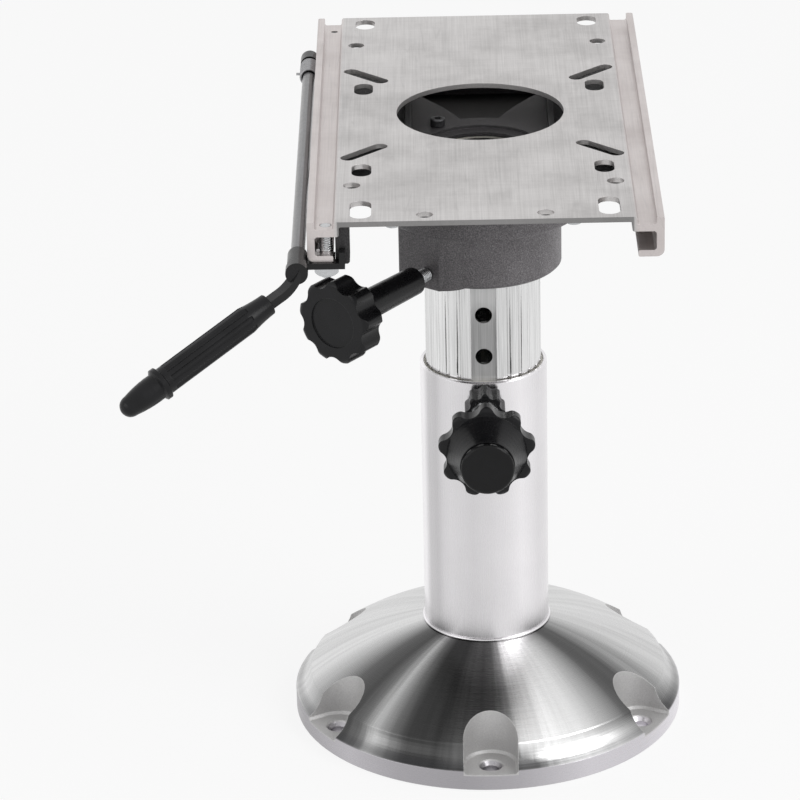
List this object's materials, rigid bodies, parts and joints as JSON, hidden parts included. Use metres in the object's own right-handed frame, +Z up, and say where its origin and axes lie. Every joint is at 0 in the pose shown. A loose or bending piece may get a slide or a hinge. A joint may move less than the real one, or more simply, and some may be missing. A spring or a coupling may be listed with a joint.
{
  "type": "boat seat pedestal",
  "caption": "Adjustable-height boat seat pedestal: round floor base, tube with fluted post, lockable swivel head and a slotted seat plate that slides by a side lever.",
  "frame": {"origin": "centre of the six floor screw holes on the floor plane, under the post", "axes": "+Z up along the post, -Y towards the front with the height knob, +X to the right of someone facing +Y"},
  "size_m": [0.3066, 0.4089, 0.3724],
  "materials": {
    "base_aluminium": "satin anodised, brushed",
    "tube_aluminium": "satin anodised",
    "post_aluminium": "bright anodised extrusion",
    "plate_aluminium": "mill finish with fine scratches",
    "cast_dark": "sand-textured dark grey coat",
    "runner_dark": "satin dark grey coat",
    "black_plastic": "satin",
    "black_steel": "black coat",
    "bright_steel": "turned and zinc plated",
    "spring_steel": "drawn wire",
    "brass": "turned",
    "nylon": "natural nylon"
  },
  "bodies": {
    "base_body": {"base": "base_aluminium", "base_ring": "tube_aluminium", "outer_tube": "tube_aluminium", "upper_bushing": "nylon", "pin_sleeve": "bright_steel", "sleeve_cap": "black_plastic", "pin_spring": "spring_steel"},
    "collar_body": {"tension_collar": "black_plastic"},
    "pin_body": {"locking_pin": "bright_steel", "knob_insert": "brass", "height_knob": "black_plastic", "height_knob_cap": "black_plastic"},
    "post_body": {"post": "post_aluminium", "lower_bushing": "nylon", "thrust_washer": "nylon"},
    "head_body": {"spider": "cast_dark", "swivel_bushing": "nylon", "brake_shoe": "brass", "hub_screw": "bright_steel", "left_runner": "runner_dark", "right_runner": "runner_dark", "left_glide": "nylon", "right_glide": "nylon", "lock_rack": "runner_dark", "carriage_bolts": "bright_steel", "carriage_nuts": "bright_steel"},
    "lock_body": {"lock_stud": "bright_steel", "swivel_knob": "black_plastic", "swivel_knob_insert": "brass"},
    "seat_body": {"seat_plate": "plate_aluminium", "front_stop": "cast_dark", "rod_bracket": "black_steel", "bracket_bolt": "bright_steel", "bracket_nut": "bright_steel", "bracket_pin": "bright_steel", "rear_screw": "black_steel", "rear_clip": "black_steel", "return_spring": "spring_steel"},
    "lever_body": {"lever_rod": "bright_steel", "lever_arm": "black_steel", "lever_grip": "black_plastic", "lock_pawl": "black_steel"}
  },
  "joints": [
    {"name": "height_slide", "type": "slide", "parent": "base_body", "child": "post_body", "axis": [0, 0, 1], "range_m": [-0.0254, 0.0762]},
    {"name": "seat_swivel", "type": "hinge", "parent": "post_body", "child": "head_body", "pos_m": [0, 0, 0.3], "axis": [0, 0, 1], "continuous": true},
    {"name": "seat_slide", "type": "slide", "parent": "head_body", "child": "seat_body", "axis": [0, 1, 0], "range_m": [-0.0254, 0.0635]},
    {"name": "slide_lever", "type": "hinge", "parent": "seat_body", "child": "lever_body", "pos_m": [-0.09975, 0, 0.3496], "axis": [0, 1, 0], "range_deg": [-12, 15]},
    {"name": "height_pin", "type": "slide", "parent": "base_body", "child": "pin_body", "axis": [0, 1, 0], "range_m": [0, 0.007]},
    {"name": "collar_turn", "type": "hinge", "parent": "base_body", "child": "collar_body", "pos_m": [0, -0.045, 0.21], "axis": [0, -1, 0], "range_deg": [0, 180]},
    {"name": "swivel_lock", "type": "hinge", "parent": "head_body", "child": "lock_body", "pos_m": [-0.05976, -0.08018, 0.2912], "axis": [-0.5976, -0.8018, 0], "range_deg": [0, 270]}
  ]
}
